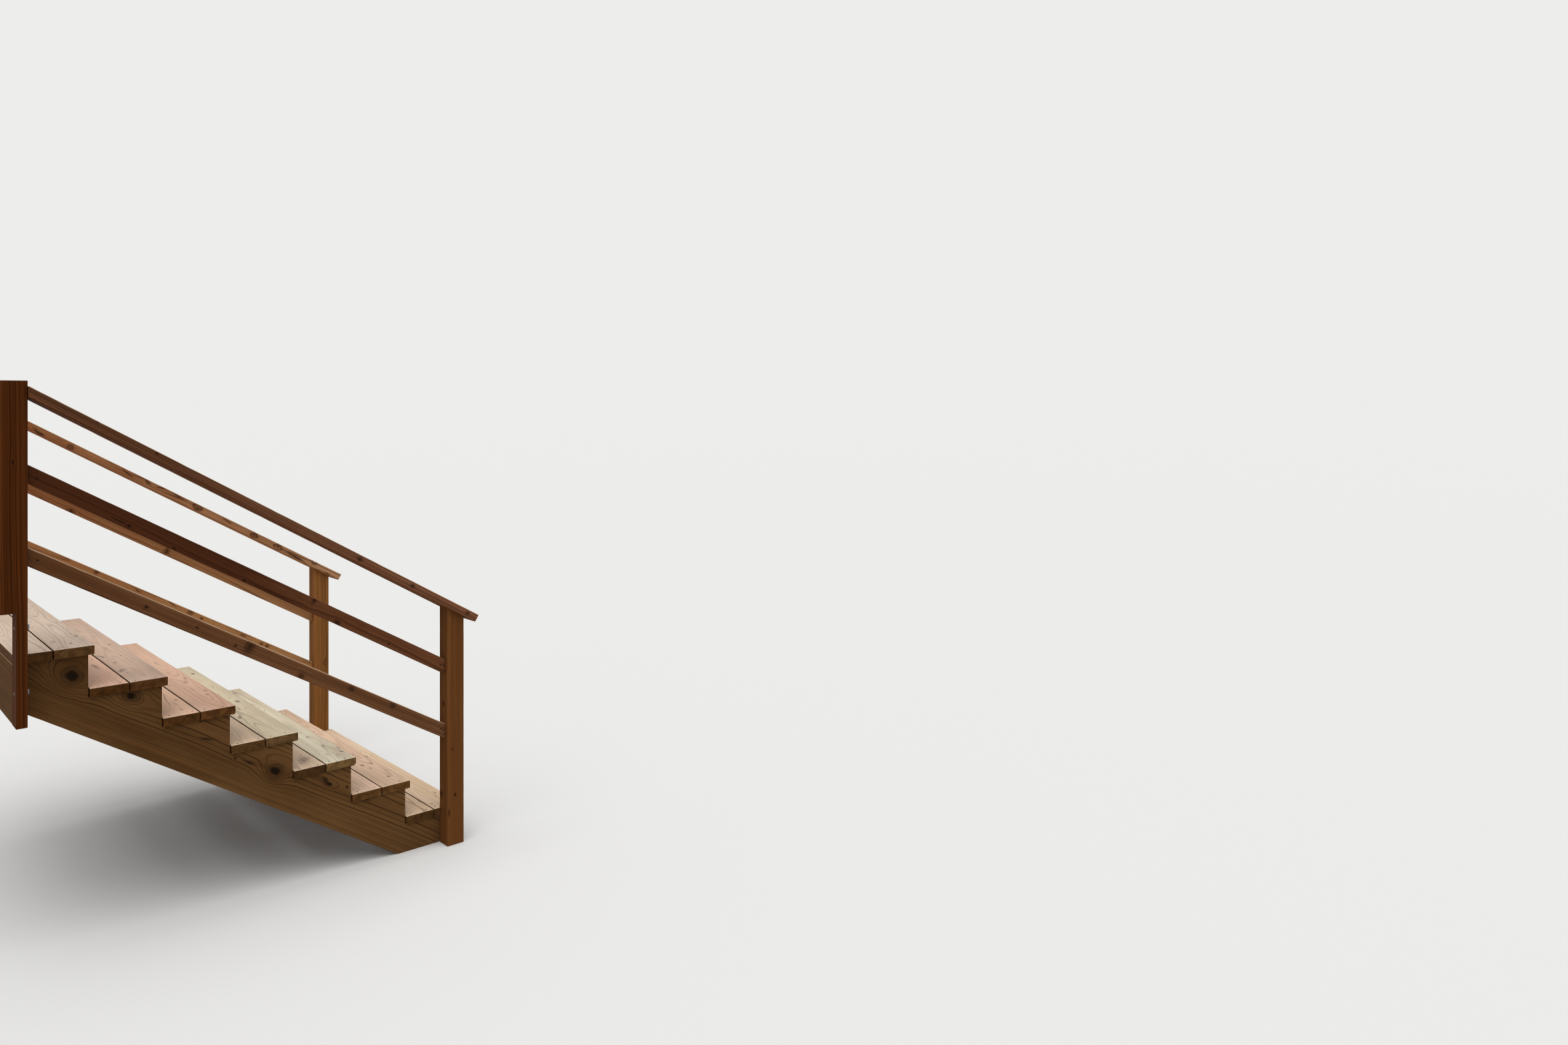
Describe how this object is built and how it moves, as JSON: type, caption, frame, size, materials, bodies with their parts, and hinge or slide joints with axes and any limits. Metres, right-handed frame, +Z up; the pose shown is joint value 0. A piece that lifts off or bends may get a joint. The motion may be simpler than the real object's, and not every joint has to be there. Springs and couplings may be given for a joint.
{
  "type": "wooden deck stairs with open risers and railings",
  "caption": "Straight open-riser wooden deck stairs: sawtooth stringers, two-board treads, square posts, flat cap rails and sloping middle rails on both sides.",
  "frame": {"origin": "centre of the hanger board's back face, which bears on the rim of the upper deck", "axes": "+X runs horizontally down the flight, +Y to the left of someone walking down, +Z up"},
  "size_m": [1.9894, 1.913, 2.32],
  "materials": {
    "tread_wood": "semi-transparent tan stain, walked on",
    "stringer_wood": "dark brown stain",
    "post_wood": "red-brown stain",
    "rail_wood": "red-brown stain, weathered on top",
    "bolt_steel": "galvanized"
  },
  "bodies": {
    "root": {"hanger_board": "stringer_wood", "right_stringer": "stringer_wood", "left_stringer": "stringer_wood", "inner_stringer_1": "stringer_wood", "inner_stringer_2": "stringer_wood", "tread_1_back": "tread_wood", "tread_1_front": "tread_wood", "tread_2_back": "tread_wood", "tread_2_front": "tread_wood", "tread_3_back": "tread_wood", "tread_3_front": "tread_wood", "tread_4_back": "tread_wood", "tread_4_front": "tread_wood", "tread_5_back": "tread_wood", "tread_5_front": "tread_wood", "tread_6_back": "tread_wood", "tread_6_front": "tread_wood", "tread_7_back": "tread_wood", "tread_7_front": "tread_wood", "right_top_post": "post_wood", "left_top_post": "post_wood", "right_bottom_post": "post_wood", "left_bottom_post": "post_wood", "right_cap_rail": "rail_wood", "left_cap_rail": "rail_wood", "right_upper_rail": "rail_wood", "left_upper_rail": "rail_wood", "right_lower_rail": "rail_wood", "left_lower_rail": "rail_wood", "right_post_bolts": "bolt_steel", "left_post_bolts": "bolt_steel"}
  },
  "joints": []
}
